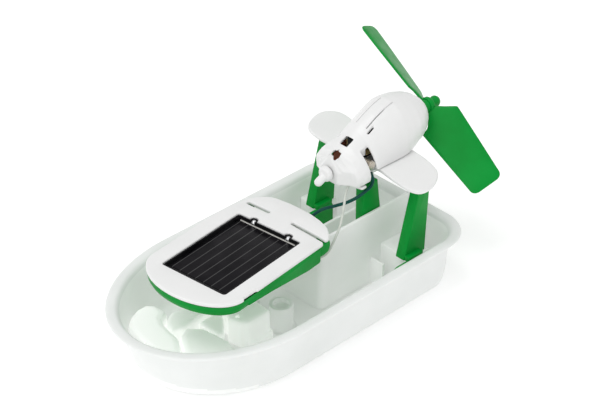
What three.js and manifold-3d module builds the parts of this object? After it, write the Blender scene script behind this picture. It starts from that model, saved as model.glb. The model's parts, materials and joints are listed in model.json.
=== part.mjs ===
// Solar toy kit built up as an air boat. Millimetres, +Z up.
// The bow points along -X and the stern, with the propeller, along +X.
// The origin is the middle of the hull's flat bottom.
import * as THREE from 'three';
import * as BufferGeometryUtils from 'three/addons/utils/BufferGeometryUtils.js';
import Module from 'manifold-3d';

const wasm = await Module();
wasm.setup();

// ---------------------------------------------------------------- driving dimensions
const GAP = 0.3;                       // clearance between pieces that touch

const HULL = {
  bowX: -72.3, sternX: 72.75, halfWidth: 40, height: 25.5,
  bowLength: 52.5,                     // half-ellipse of the bow, along X
  sternRadius: 16, floor: 1.5, lipWidth: 4,
};
const WELL = {                         // walled well that stands on the hull's floor
  frontX: 14, sternX: 69.5, nearY: -12, farY: 12, wall: 1.3,
  height: 34, farHeight: 18.5, lowFromX: 21, cornerRadius: 2.5,
};
const RIB = { x0: 41.6, x1: 42.9, y0: -18.6, top: 12.8 };
const LEG_BLOCK = { frontX: 47.4, rearX: 58.8, nearY: -27.4, farY: 23.4, top: 17 };
const SOCKET = { x: -3.3, nearY: -8.4, farY: 12.4, height: 12, radius: 4.75, recess: 3.3, depth: 2.2 };
const LEG = {                          // green leg: a thin trapezium, broad along X
  thickness: 4.7, footZ: 17.3, topZ: 50.6, nearY: -27, farY: 23.5,
  footFront: 44.6, footRear: 56.5, topFront: 53.3, topRear: 58.1, topRounding: 1.4,
  plate: 1.8, plateGap: 0.7, plateBottom: 4.2, plateAhead: 6.7,
};
const POD = {                          // motor pod; the shaft runs through it along X
  axisZ: 59.6, parting: 52.5, wall: 1.3, domeFront: 44.2, cowlRear: 40.2, cowlBottom: 48.4,
  stripHalf: 6.5, wingTop: 52.35, wingThickness: 1.6,
};
const MOTOR = { bellX: 50.2, frontX: 54, rearX: 70, radius: 8.7, flat: 6.2, wall: 0.7, shaft: 1 };
const PROP = { x: 84.3, radius: 40.4, hubRadius: 2.4, hubFront: 81.9, hubRear: 91.2, azimuthDeg: 33.6 };
const PANEL = {                        // panel unit, level, turned a little about Z
  x: -19.8, y: 0, top: 39.5, yawDeg: 6.6,
  halfWidth: 22.3, bowU: -33.4, bowCurve: 14, sternU: 25.2, frameThickness: 1.6,
  windowHalfLength: 22.1, windowHalfWidth: 15.4, cellDrop: 2.2,
  shellWall: 1.2, shellStep: 33.4, shellBottom: 31, boxFrontU: -0.5,
};
const HINGE = {                        // tilt hinge, in the panel's frame; the swivel is under it
  u: 29, z: 34.9, barrel: 2.7, pin: 0.8, barrelFrom: 16.2, barrelTo: 21.2, yokeHalf: 4.5, stud: 1.6,
};
const WIRE = { teal: 1.3, white: 1.0 };                      // wire diameters

const COLOUR = {
  white: 0xf2f3f1, green: 0x17964a, black: 0x0c0d10, steel: 0xb9bcc0,
  copper: 0xa8562f, brass: 0xb9974a, teal: 0x0f5a52, whiteWire: 0xdfe3da,
};

// ---------------------------------------------------------------- helpers
const part = new THREE.Group();

function add(name, geometry, colour, roughness = 0.45, metalness = 0, parent = part) {
  const material = new THREE.MeshStandardMaterial({ color: colour, roughness, metalness });
  const mesh = new THREE.Mesh(welded(geometry), material);
  mesh.name = name;
  parent.add(mesh);
  return mesh;
}

// One welded mesh whose faces look outwards, with no collapsed triangles.
function welded(geometry) {
  const bare = geometry.clone();
  bare.deleteAttribute('normal');
  bare.deleteAttribute('uv');
  const merged = BufferGeometryUtils.mergeVertices(bare, 1e-4);
  const [a, b, c] = [new THREE.Vector3(), new THREE.Vector3(), new THREE.Vector3()];
  const at = merged.attributes.position;
  const corners = merged.index.array;
  let volume = 0;
  let faces = [];
  for (let i = 0; i < corners.length; i += 3) {
    const [p, q, r] = [corners[i], corners[i + 1], corners[i + 2]];
    if (p === q || q === r || r === p) continue;
    faces.push([p, q, r]);
    b.fromBufferAttribute(at, q).cross(c.fromBufferAttribute(at, r));
    volume += a.fromBufferAttribute(at, p).dot(b);
  }
  if (volume < 0) faces = faces.map(([p, q, r]) => [p, r, q]);
  merged.setIndex(faces.flat());
  return merged;
}

// closed three.js geometry -> solid that can be joined and cut
function solid(geometry) {
  const mesh = welded(geometry);
  return new wasm.Manifold(new wasm.Mesh({
    numProp: 3,
    vertProperties: new Float32Array(mesh.attributes.position.array),
    triVerts: new Uint32Array(mesh.index.array),
  }));
}

function geometryOf(body) {
  const mesh = body.getMesh();
  const geometry = new THREE.BufferGeometry();
  geometry.setAttribute('position', new THREE.BufferAttribute(new Float32Array(mesh.vertProperties), 3));
  geometry.setIndex(new THREE.BufferAttribute(new Uint32Array(mesh.triVerts), 1));
  return geometry;
}

const join = (first, ...rest) => rest.reduce((sum, next) => sum.add(next), first);
const cut = (first, ...rest) => rest.reduce((left, next) => left.subtract(next), first);

function box(x0, x1, y0, y1, z0, z1) {
  const geometry = new THREE.BoxGeometry(x1 - x0, y1 - y0, z1 - z0);
  return geometry.translate((x0 + x1) / 2, (y0 + y1) / 2, (z0 + z1) / 2);
}

function outline(points) {
  return new THREE.Shape(points.map(([a, b]) => new THREE.Vector2(a, b)));
}

function extrude(shape, depth, curveSegments = 8) {
  return new THREE.ExtrudeGeometry(shape, { depth, bevelEnabled: false, curveSegments });
}

// outline in X and Y, standing between two heights
const standing = (shape, z0, z1, segments) => extrude(shape, z1 - z0, segments).translate(0, 0, z0);
// outline in X and Z, running along Y between y0 and y1
const acrossY = (shape, y0, y1, segments) => extrude(shape, y1 - y0, segments)
  .rotateX(Math.PI / 2).translate(0, y1, 0);
// outline in Y and Z, running along X between x0 and x1
const alongX = (shape, x0, x1, segments) => extrude(shape, x1 - x0, segments)
  .applyMatrix4(new THREE.Matrix4().makeBasis(
    new THREE.Vector3(0, 1, 0), new THREE.Vector3(0, 0, 1), new THREE.Vector3(1, 0, 0)))
  .translate(x0, 0, 0);

function roundedRect(x0, x1, y0, y1, r) {
  const shape = new THREE.Shape();
  shape.moveTo(x0 + r, y0);
  shape.lineTo(x1 - r, y0);
  shape.absarc(x1 - r, y0 + r, r, -Math.PI / 2, 0);
  shape.lineTo(x1, y1 - r);
  shape.absarc(x1 - r, y1 - r, r, 0, Math.PI / 2);
  shape.lineTo(x0 + r, y1);
  shape.absarc(x0 + r, y1 - r, r, Math.PI / 2, Math.PI);
  shape.lineTo(x0, y0 + r);
  shape.absarc(x0 + r, y0 + r, r, Math.PI, 1.5 * Math.PI);
  return shape;
}

function circle(x, y, r) {
  const shape = new THREE.Shape();
  shape.absarc(x, y, r, 0, 2 * Math.PI);
  return shape;
}

// body of revolution about the motor shaft; the profile is [x, radius] and closes on itself
function turned(profile, segments = 40, z = POD.axisZ) {
  const points = profile.map(([x, r]) => new THREE.Vector2(r, x));
  const geometry = new THREE.LatheGeometry(points, segments);
  geometry.rotateZ(-Math.PI / 2).translate(0, 0, z);
  return geometry;
}

// a turned ring or rod between x0 and x1, with bore radius r0 (0 for solid)
function ring(x0, x1, r0, r1, segments = 24, z = POD.axisZ) {
  return turned([[x0, r0], [x0, r1], [x1, r1], [x1, r0], [x0, r0]], segments, z);
}

function rod(x0, x1, r, segments = 24, z = POD.axisZ) {
  return turned([[x0, 0], [x0, r], [x1, r], [x1, 0]], segments, z);
}

// ---------------------------------------------------------------- hull
// Plan of the hull's lip, inset by a distance; the bow can be raked back as well.
function hullPlan(inset, rake = 0) {
  const points = [];
  const w = HULL.halfWidth - inset;
  const bow = HULL.bowX + inset + rake;
  const start = HULL.bowX + HULL.bowLength;
  const stern = HULL.sternX - inset;
  const r = Math.max(HULL.sternRadius - inset, 2);
  const bowSteps = 36;
  for (let i = 0; i <= bowSteps; i += 1) {
    const t = -Math.PI / 2 + Math.PI * (i / bowSteps);
    points.push([start - (start - bow) * Math.cos(t), w * Math.sin(t)]);
  }
  const cornerSteps = 8;
  for (const side of [1, -1]) {
    for (let i = 0; i <= cornerSteps; i += 1) {
      const turn = (Math.PI / 2) * (i / cornerSteps);
      const t = side > 0 ? turn : Math.PI / 2 - turn;
      points.push([stern - r + r * Math.sin(t), side * (w - r + r * Math.cos(t))]);
    }
  }
  return points;
}

// Skin over rings of equal point count, each closed about its own middle at both ends.
function loft(rings) {
  const count = rings[0].length;
  const vertices = rings.flat(2);
  const faces = [];
  for (let k = 0; k + 1 < rings.length; k += 1) {
    for (let i = 0; i < count; i += 1) {
      const a = k * count + i;
      const b = k * count + ((i + 1) % count);
      faces.push(a, b, a + count, b, b + count, a + count);
    }
  }
  const ends = [[0, false], [rings.length - 1, true]];
  for (const [k, last] of ends) {
    const middle = [0, 1, 2].map((axis) => rings[k].reduce((sum, point) => sum + point[axis], 0) / count);
    const hub = vertices.length / 3;
    vertices.push(...middle);
    for (let i = 0; i < count; i += 1) {
      const a = k * count + i;
      const b = k * count + ((i + 1) % count);
      faces.push(...(last ? [a, b, hub] : [b, a, hub]));
    }
  }
  const geometry = new THREE.BufferGeometry();
  geometry.setAttribute('position', new THREE.Float32BufferAttribute(vertices, 3));
  geometry.setIndex(faces);
  return geometry;
}

// [height, inset from the lip's edge, extra rake of the bow]
const HULL_OUTSIDE = [
  [0, 11.0, 5.0], [0.7, 8.6, 4.6], [2.4, 6.9, 4.1], [5.0, 6.0, 3.4], [8.0, 5.5, 2.7], [16, 4.9, 1.3],
  [HULL.height - 3.6, 4.3, 0.3], [HULL.height - 2.0, 3.6, 0], [HULL.height - 1.4, 2.4, 0],
  [HULL.height - 1.3, 0.9, 0], [HULL.height - 1.0, 0.2, 0], [HULL.height - 0.6, 0, 0],
  [HULL.height - 0.2, 0.25, 0], [HULL.height, 0.9, 0], [HULL.height, HULL.lipWidth - 0.2, 0],
];
const HULL_INSIDE = [
  [HULL.height - 0.3, HULL.lipWidth + 0.6, 0], [HULL.height - 1.6, HULL.lipWidth + 1.1, 0.1],
  [HULL.height - 3.6, 5.7, 0.4], [16, 6.3, 1.3], [8.0, 6.9, 2.7], [5.0, 7.5, 3.4], [2.6, 9.4, 4.2],
  [HULL.floor, 12.4, 5.0],
];

function hullRing([z, inset, rake], clearance = 0) {
  return hullPlan(inset + clearance, rake).reverse().map(([x, y]) => [x, y, z]);
}

function hullTub() {
  return loft([...HULL_OUTSIDE, ...HULL_INSIDE].map((level) => hullRing(level)));
}

// The room inside the hull's walls, kept clear of them, or let into them by a negative clearance.
function hullRoom(clearance, top = HULL.height - 1.6) {
  const levels = HULL_INSIDE.slice(2).reverse();
  const rings = levels.map(([z, inset, rake]) => hullRing([z + clearance * 0.6, inset, rake], clearance));
  rings.push(hullRing([top, HULL.lipWidth + 1.1, 0.1], clearance));
  return solid(loft(rings));
}

function wellWalls() {
  const { frontX, sternX, nearY, farY, wall, height, farHeight, lowFromX, cornerRadius } = WELL;
  const base = HULL.floor - 0.4;
  const outer = solid(standing(roundedRect(frontX, sternX + 8, nearY, farY, cornerRadius), base, height, 5));
  const room = roundedRect(frontX + wall, sternX + 20, nearY + wall, farY - wall, cornerRadius - wall);
  const inner = solid(standing(room, base - 1, height + 1, 5));
  const low = solid(box(lowFromX, sternX + 20, 0, farY + 1, farHeight, height + 1));
  const beyond = solid(box(sternX - 1.2, sternX + 20, nearY - 1, farY + 1, base - 2, height + 2));
  return cut(outer, inner, low, beyond);
}

// upright ring on the floor, with a blind recess in its top
function socket(y) {
  const { x, height, radius, recess, depth } = SOCKET;
  const post = solid(standing(circle(x, y, radius), HULL.floor - 0.4, height, 14));
  return cut(post, solid(standing(circle(x, y, recess), height - depth, height + 1, 14)));
}

function legBlock(y0, y1) {
  return solid(box(LEG_BLOCK.frontX, LEG_BLOCK.rearX, y0, y1, HULL.floor - 0.4, LEG_BLOCK.top));
}

{
  const rib = solid(box(RIB.x0, RIB.x1, RIB.y0, WELL.nearY + 0.5, HULL.floor - 0.4, RIB.top));
  const fittings = join(
    wellWalls(),
    rib,
    legBlock(LEG_BLOCK.nearY, WELL.nearY + 0.5),
    legBlock(LEG_BLOCK.farY, HULL.halfWidth),
    socket(SOCKET.nearY),
    socket(SOCKET.farY),
  ).intersect(hullRoom(-0.6, WELL.height + 1));
  add('hull', geometryOf(solid(hullTub()).add(fittings)), COLOUR.white, 0.42);
}

// ---------------------------------------------------------------- white moulded pieces in the bow
function moulded(points, z0, z1, bevel) {
  const shape = outline(points);
  const geometry = new THREE.ExtrudeGeometry(shape, {
    depth: z1 - z0 - 2 * bevel, bevelEnabled: true, bevelThickness: bevel, bevelSize: bevel,
    bevelOffset: -bevel, bevelSegments: 2, curveSegments: 6,
  });
  return geometry.translate(0, 0, z0 + bevel);
}

{
  const floor = HULL.floor + GAP;
  // name: [plan, top height, rounding]
  const pieces = {
    stand_crossbar: [[
      [-60.9, 0], [-60.2, 7], [-57.6, 17.3], [-52.6, 21.3], [-48.2, 23], [-44.2, 23], [-41.6, 20.5],
      [-41, 14], [-45.2, 11.6], [-46.6, 9.2], [-47.6, 4], [-48.2, -0.8], [-53.4, -8.8], [-55, -13], [-60, -13],
    ], 16, 2.4],
    stand_arm: [[
      [-40.4, 13.6], [-38.5, 14.4], [-24, 12], [-22, 7], [-31.4, 5.6], [-37.4, 4.6], [-41.5, 4.2],
      [-46.2, 5.4], [-45.4, 9], [-44.2, 11.2],
    ], 14, 1.6],
    stand_middle: [[
      [-46, 1], [-41.2, 3.2], [-36.6, -1.2], [-35.4, -7], [-34.7, -14.4], [-36.8, -20], [-42, -22],
      [-50, -19], [-52.6, -12.5], [-52.4, -8.8],
    ], 14.4, 2.2],
    stand_wedge: [[
      [-33.9, 0.4], [-33.4, 4.6], [-25.8, 4.6], [-24.6, 0.2], [-31.4, -7.2], [-33.6, -6.2],
    ], 12, 1.2],
    stand_rear: [[
      [-26.2, -3.4], [-24.8, -9.2], [-22.7, -11.6], [-12.2, -11.6], [-11.2, -10.4], [-11.2, 3], [-23.6, 3],
      [-23.6, -0.2],
    ], 14.6, 1.6],
  };
  // shallow round marks in the tops: [piece, x, y]
  const marks = [
    ['stand_crossbar', -56.6, -7.4], ['stand_crossbar', -59.4, 4.4], ['stand_rear', -23.2, -5.6],
  ];
  const room = hullRoom(0.5);
  for (const [name, [points, top, bevel]] of Object.entries(pieces)) {
    const holes = marks.filter(([piece]) => piece === name)
      .map(([, x, y]) => solid(standing(circle(x, y, 0.8), top - 3, top + 1, 8)));
    let body = solid(moulded(points, floor, top, bevel));
    if (name === 'stand_rear') {
      const foot = [[-24.6, -9], [-22.4, -12.6], [-11.4, -12.6], [-10.4, -11.4], [-10.4, 2], [-22.6, 2]];
      body = body.add(solid(moulded(foot, floor, 4.9, 0.4)));
    }
    add(name, geometryOf(cut(body, ...holes).intersect(room)), COLOUR.white, 0.45);
  }
}

// ---------------------------------------------------------------- green legs
// Side outline in X and Z: a trapezium that stands on its block, with its upper rear corner rounded.
function legBody(y) {
  const { footFront, footRear, topFront, topRear, footZ, topZ, thickness, topRounding: r } = LEG;
  const side = outline([
    [footFront, footZ], [footRear, footZ], [topRear, topZ - r], [topRear - r * 0.3, topZ - r * 0.3],
    [topRear - r, topZ], [topFront, topZ],
  ]);
  return solid(acrossY(side, y, y + thickness));
}

// A leg, the foot plate that hangs beside its block, and the bridge between the two.
function sideLeg(y) {
  const { footFront, footRear, footZ, plate, plateGap, plateBottom, plateAhead } = LEG;
  const plateY = y - plate - plateGap;
  const shape = roundedRect(footFront - plateAhead, footRear - 3, plateBottom, footZ + 0.4, 2.4);
  const foot = solid(acrossY(shape, plateY, plateY + plate, 4));
  const bridge = solid(box(footFront + 0.6, footRear - 3.2, plateY + 0.4, y + 1.6, footZ, footZ + 2.4));
  return geometryOf(join(legBody(y), foot, bridge));
}

add('near_leg', sideLeg(LEG.nearY), COLOUR.green, 0.38);
add('far_leg', sideLeg(LEG.farY - 0.3), COLOUR.green, 0.38);

{
  const faceY = WELL.nearY + WELL.wall + GAP + 0.2;
  const base = HULL.floor + GAP;
  const shape = outline([[38.8, base], [52.6, base], [46.7, 46.6], [38.8, 46.6]]);
  add('mid_leg', acrossY(shape, faceY, faceY + 4.3), COLOUR.green, 0.38);
}

// ---------------------------------------------------------------- motor pod
// Crown and flanks of the cover: [x, half width, top height, power of the arch, share of a plain circle].
const COVER = [
  [29.6, 6, 53.4, 2, 0], [30.4, 7, 54.8, 1.9, 0], [31.6, 8.4, 56.6, 1.8, 0], [33.4, 10.4, 58.4, 1.7, 0],
  [35, 12, 60, 1.6, 0], [38, 12.9, 62.1, 1.5, 0], [40.2, 12.9, 63.2, 1.5, 0], [44.2, 12.4, 65.2, 1.5, 0],
  [47, 12.4, 67, 1.6, 0], [52, 12.5, 69.5, 1.8, 0], [57, 12.6, 71.3, 2.1, 0], [61, 12.6, 72.1, 2.3, 0.2],
  [65, 12.3, 71.9, 2.3, 0.6], [69, 11.6, 71.2, 2, 1], [72.5, 10.5, 70.1, 2, 1], [75.5, 8.9, 68.5, 2, 1],
  [78, 6.9, 66.5, 2, 1], [79.8, 4.9, 64.5, 2, 1], [81, 1.7, 61.3, 2, 1],
];

// Distance from the shaft to an arch that stands on the parting plane, at one angle about the shaft.
function archReach(angle, width, top, power) {
  const [side, up] = [Math.abs(Math.cos(angle)), Math.sin(angle)];
  let [low, high] = [0, 16];
  for (let i = 0; i < 24; i += 1) {
    const reach = (low + high) / 2;
    const rise = Math.max(0, POD.axisZ + reach * up - POD.parting) / (top - POD.parting);
    const inside = ((reach * side) / width) ** power + rise ** power < 1;
    [low, high] = inside ? [reach, high] : [low, reach];
  }
  return low;
}

// The cover's body as a solid, drawn in from its outside by a distance.
function coverBody(inset) {
  const steps = 48;
  const rings = COVER.map(([x, width, top, power, round]) => {
    const back = inset * Math.max(0, (x - 66) / 15);
    return Array.from({ length: steps }, (_, i) => {
      const angle = (2 * Math.PI * i) / steps;
      const arch = archReach(angle, width - inset, top - inset, power);
      const reach = Math.max(arch + round * (width - inset - arch), 0.4);
      return [x - back, reach * Math.cos(angle), POD.axisZ + reach * Math.sin(angle)];
    });
  });
  return solid(loft(rings));
}

// Plan of the nose cowl: a narrow nose between two cheeks.
function cowlPlan(inset) {
  const i = inset;
  return outline([
    [30.2 + i, -4.6 + i * 0.4], [30.2 + i, 4.6 - i * 0.4], [33.4 + i, 8.8 - i * 0.6], [34.8 + i, 13.4 - i],
    [POD.cowlRear, 13.4 - i], [POD.cowlRear, -13.4 + i], [34.8 + i, -13.4 + i], [33.4 + i, -8.8 + i * 0.6],
  ].reverse());
}

// What is kept of the cover's body: the cowl, the strip over the gap, and the dome.
function coverRegion(inset) {
  const half = POD.stripHalf - inset;
  const cowl = solid(standing(cowlPlan(inset), POD.cowlBottom - inset * 2, 75));
  const strip = solid(box(POD.cowlRear - 3, POD.domeFront + 3, -half, half, 57, 75));
  const dome = solid(box(POD.domeFront - inset * 0.8, 90, -20, 20, POD.parting + 0.15 - inset * 2, 90));
  return join(cowl, strip, dome);
}

{
  const skin = coverBody(0).intersect(coverRegion(0));
  const hollow = coverBody(POD.wall).intersect(coverRegion(POD.wall));
  const slots = [[-3, 47, 58], [3, 48, 60]].map(([y, x0, x1]) => (
    solid(box(x0, x1, y - 0.3, y + 0.3, 62, 75))));
  const shortSlot = solid(box(46.2, 49.8, -4.7, -4, 62, 75));
  const window = (x, z, half) => solid(acrossY(outline([
    [x, z - half * 1.4], [x + half * 1.4, z], [x, z + half * 1.4], [x - half * 1.4, z],
  ]), -half, half));
  const windows = [window(39.2, 62.4, 2), window(33.6, 58.2, 1.9)];
  const pegHole = solid(rod(28, 33, 2.0, 20, 52.4));
  const tailHole = solid(rod(76, 84, 1.7, 20));
  const cover = cut(skin, hollow, ...slots, shortSlot, ...windows, pegHole, tailHole);
  add('pod_cover', geometryOf(cover), COLOUR.white, 0.42);
}

// Plans of the two wings, which differ a little: [x, y] from the front of the root round to its rear.
const NEAR_WING = [
  [45.6, -12.6], [44.2, -21], [43.6, -27.2], [44, -30.9], [45.4, -33.2], [48.3, -34.1], [53, -33.4],
  [58.2, -30.6], [61, -27.5], [62.8, -23.2], [64.2, -17.7], [64.9, -12.3],
];
const FAR_WING = [
  [45.4, 12.4], [45.1, 20.2], [46, 25.6], [47.5, 29.4], [50.4, 31.8], [54.2, 33.5], [58.4, 34.3], [61.5, 33.5],
  [63.5, 31.6], [65, 28.5], [64.8, 24.4], [64.1, 20], [64.1, 12.4],
];

function wing(points) {
  const toward = Math.sign(points[0][1]);
  const tips = points.map(([x, y]) => new THREE.Vector2(x, y));
  const shape = new THREE.Shape();
  shape.moveTo(tips[0].x, toward * 8);
  shape.lineTo(tips[0].x, tips[0].y);
  shape.splineThru(tips.slice(1));
  shape.lineTo(tips[tips.length - 1].x, toward * 8);
  return solid(standing(shape, POD.wingTop - POD.wingThickness, POD.wingTop, 3));
}

{
  const below = solid(box(20, 90, -20, 20, 30, POD.parting - 0.15));
  const bowlProfile = [
    [46.8, 0], [46.8, 10.9], [49, 11.3], [54, 12], [65, 12], [72.5, 10.3], [76.5, 8], [76.5, 0],
  ];
  const roomProfile = [
    [46, 0], [46, 9.4], [49, 10], [54, 10.7], [65, 10.7], [71.5, 9.2], [75.5, 7], [75.5, 0],
  ];
  const [bowl, room] = [bowlProfile, roomProfile].map((profile) => solid(turned(profile, 48)));
  const cradle = solid(box(47, 66, -8.4, 8.4, 47.9, 49.1)).intersect(bowl);
  const nosePlate = solid(standing(cowlPlan(POD.wall), 46.9, 48.1));
  const neck = solid(box(POD.cowlRear - 1, 52, -6.5, 6.5, 46.9, 48.3));
  const wings = [wing(NEAR_WING), wing(FAR_WING)];
  const notch = solid(box(28, 36, -9.4, -4.4, 46, 49));
  const tray = join(cut(join(bowl.intersect(below), ...wings), room), cradle, cut(nosePlate, notch), neck);
  add('pod_tray', geometryOf(tray), COLOUR.white, 0.42);
}

// Nose peg: a round collar outside the cowl, a stub in its hole and a round-ended peg that droops forward.
{
  const collar = solid(turned([[27, 0], [27, 2.4], [27.7, 3.1], [29.3, 3.1], [29.3, 0]], 24, 52.4));
  const stub = solid(rod(29, 32.2, 1.7, 20, 52.4));
  const peg = new THREE.CapsuleGeometry(1.7, 5, 6, 14);
  peg.rotateZ(Math.PI / 2).rotateY(-0.42).translate(26.9, 0, 51.3);
  add('nose_peg', geometryOf(join(collar, stub, solid(peg))), COLOUR.white, 0.42);
}

// Copper strip that stands inside the cowl, and a coiled brass contact in the gap behind it.
{
  const strip = outline([
    [34.6, 56.2], [35.8, 57.4], [38.6, 59.6], [42, 60.6], [42, 50], [34.6, 50],
  ]);
  add('nose_contact', acrossY(strip, 2.4, 3.3), COLOUR.copper, 0.4, 0.8);
  const [from, to, radius, pitch] = [7.4, 11.2, 1.8, 0.95];
  const coil = [[from, 0], [from, radius * 0.8]];
  for (let at = from; at + pitch <= to; at += pitch) {
    coil.push([at + 0.1, radius], [at + 0.65, radius], [at + 0.75, radius * 0.8], [at + pitch, radius * 0.8]);
  }
  coil.push([to, 0]);
  const spring = new THREE.LatheGeometry(coil.map(([y, r]) => new THREE.Vector2(r, -y)), 20);
  add('contact_spring', spring.translate(42.25, 0, 54.9), COLOUR.brass, 0.3, 0.8);
}

// ---------------------------------------------------------------- motor
function flattedDisc(radius, flat) {
  const shape = new THREE.Shape();
  const a = Math.asin(flat / radius);
  shape.absarc(0, POD.axisZ, radius, -a, a);
  shape.absarc(0, POD.axisZ, radius, Math.PI - a, Math.PI + a);
  return shape;
}

{
  const { bellX, frontX, rearX, radius, flat, wall, shaft } = MOTOR;
  const outer = solid(alongX(flattedDisc(radius, flat), frontX, rearX, 14));
  const inner = solid(alongX(flattedDisc(radius - wall, flat - wall), frontX - 1, rearX - wall, 14));
  const snout = solid(rod(rearX - 0.2, rearX + 1.4, 3, 20));
  const snoutBore = solid(rod(rearX - 2, rearX + 3, 1.9, 20));
  add('motor_can', geometryOf(cut(join(cut(outer, inner), snout), snoutBore)), COLOUR.steel, 0.3, 0.9);
  add('motor_bush', ring(rearX - 0.5, rearX + 1.2, shaft + 0.05, 1.6, 20), COLOUR.brass, 0.35, 0.8);

  const cup = solid(alongX(flattedDisc(radius - 1.4, flat - 1.4), bellX, frontX - GAP, 14));
  const cavity = solid(alongX(flattedDisc(radius - 2.7, flat - 2.8), bellX + 1.2, frontX + 1, 14));
  const boss = solid(box(44.6, bellX + 0.4, -4.6, 4.6, 54.4, 61.8));
  const shaftHole = solid(rod(bellX - 0.6, frontX, shaft + GAP, 20));
  add('motor_end_bell', geometryOf(cut(join(cup, boss), cavity, shaftHole)), COLOUR.black, 0.5);

  for (const [side, name] of [[-1, 'near'], [1, 'far']]) {
    const between = (a, b) => (side > 0 ? [a, b] : [-b, -a]);
    const [tab0, tab1] = between(4.9, 5.5);
    add(`motor_terminal_${name}`, box(44.9, 49.4, tab0, tab1, 56, 58.4), COLOUR.brass, 0.35, 0.8);
    const [brush0, brush1] = between(3, 5.6);
    const brush = box(bellX + 1.5, bellX + 2.9, brush0, brush1, POD.axisZ - 0.9, POD.axisZ + 0.9);
    add(`motor_brush_${name}`, brush, COLOUR.copper, 0.4, 0.8);
    const arc = new THREE.Shape();
    const middle = side > 0 ? 0 : Math.PI;
    arc.absarc(0, POD.axisZ, radius - wall - GAP, middle - 0.6, middle + 0.6, false);
    arc.absarc(0, POD.axisZ, 6.3, middle + 0.6, middle - 0.6, true);
    add(`motor_magnet_${name}`, alongX(arc, frontX + 2.4, rearX - 3, 10), COLOUR.black, 0.6, 0.2);
  }

  // turning set
  const [coreX0, coreX1, coreRadius, coilRadius] = [57.4, 65.6, 5.1, 4.8];
  add('motor_shaft', rod(bellX + 0.2, PROP.hubRear - 3.2, shaft, 16), COLOUR.steel, 0.25, 1);
  const coreSlots = [0, 1, 2].map((k) => solid(box(frontX, rearX, -0.9, 0.9, 3.4, 8)
    .rotateX((k * 2 * Math.PI) / 3).translate(0, 0, POD.axisZ)));
  const core = cut(solid(ring(coreX0, coreX1, shaft + GAP, coreRadius, 36)), ...coreSlots);
  add('armature_core', geometryOf(core), COLOUR.steel, 0.5, 0.7);
  const coil = (x0, x1) => turned([
    [x0, 1.6], [x0, coilRadius - 1], [(x0 + x1) / 2, coilRadius], [x1, coilRadius - 1], [x1, 1.6], [x0, 1.6],
  ], 28);
  add('armature_winding_front', coil(54.3, coreX0 - GAP), COLOUR.copper, 0.35, 0.7);
  add('armature_winding_rear', coil(coreX1 + GAP, 68.7), COLOUR.copper, 0.35, 0.7);
  add('commutator', ring(bellX + 1.5, 54, shaft + GAP, 2.6, 24), COLOUR.copper, 0.3, 0.9);
}

// ---------------------------------------------------------------- propeller
// Blade outline: [distance from the shaft, chord ahead of the blade's axis, chord behind it]
const BLADE = [
  [1.6, 1.5, -1.5], [3, 3.5, -2.2], [4.7, 5.6, -3], [6.4, 7.9, -4.2], [7.4, 9.2, -5.1], [8, 9.5, -6.6],
  [8.6, 9.5, -8.3], [16, 8.96, -7.9], [24, 8.37, -7.47], [32, 7.78, -7.03], [38, 7.3, -6.7], [39.6, 6.6, -6],
  [PROP.radius, 4.9, -4.3],
];
const BLADE_THICKNESS = 1.4;
const BLADE_TWIST = { root: 46.1, perMm: 0.313 };            // blade angle in degrees

function blade() {
  const half = BLADE_THICKNESS / 2;
  return loft(BLADE.map(([r, ahead, behind]) => {
    const pitch = THREE.MathUtils.degToRad(BLADE_TWIST.root + BLADE_TWIST.perMm * r);
    const [front, back] = [ahead * 0.6, behind * 0.6];
    const section = [[behind, 0], [back, half], [front, half], [ahead, 0], [front, -half], [back, -half]];
    return section.map(([chord, thick]) => [
      chord * Math.sin(pitch) + thick * Math.cos(pitch),
      chord * Math.cos(pitch) - thick * Math.sin(pitch),
      r,
    ]);
  }));
}

{
  const lower = THREE.MathUtils.degToRad(90 + PROP.azimuthDeg);
  const blades = [lower, lower + Math.PI].map((turn) => (
    solid(blade().rotateX(turn).translate(PROP.x, 0, POD.axisZ))));
  const nose = PROP.hubRear - PROP.hubRadius;
  const profile = [[PROP.hubFront, 0], [PROP.hubFront, 2.6], [83.6, 2.7], [86, 2.2], [nose - 0.6, 2.1]];
  const steps = 5;
  for (let i = 0; i <= steps; i += 1) {
    const t = (i / steps) * (Math.PI / 2);
    profile.push([nose + PROP.hubRadius * Math.sin(t), PROP.hubRadius * Math.cos(t)]);
  }
  const bore = solid(rod(PROP.hubFront - 1, PROP.hubRear - 2.8, MOTOR.shaft + GAP, 16));
  add('propeller', geometryOf(cut(join(solid(turned(profile, 28)), ...blades), bore)), COLOUR.green, 0.35);
}

// ---------------------------------------------------------------- solar panel unit
// Everything here is built in the unit's own frame: u along it towards the stern, v to the far side.
const panel = new THREE.Group();
panel.position.set(PANEL.x, PANEL.y, 0);
panel.rotation.z = THREE.MathUtils.degToRad(PANEL.yawDeg);
part.add(panel);

// Plan of the unit without its visor.
function panelPlan(inset, sternU) {
  const shape = new THREE.Shape();
  const w = PANEL.halfWidth - inset;
  const start = PANEL.bowU + PANEL.bowCurve;
  const [stern, r] = [sternU - inset, 3.2];
  shape.moveTo(start, -w);
  shape.lineTo(stern - r, -w);
  shape.absarc(stern - r, -w + r, r, -Math.PI / 2, 0);
  shape.lineTo(stern, w - r);
  shape.absarc(stern - r, w - r, r, 0, Math.PI / 2);
  shape.lineTo(start, w);
  shape.absellipse(start, 0, PANEL.bowCurve - inset, w, Math.PI / 2, 1.5 * Math.PI);
  return shape;
}

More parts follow.
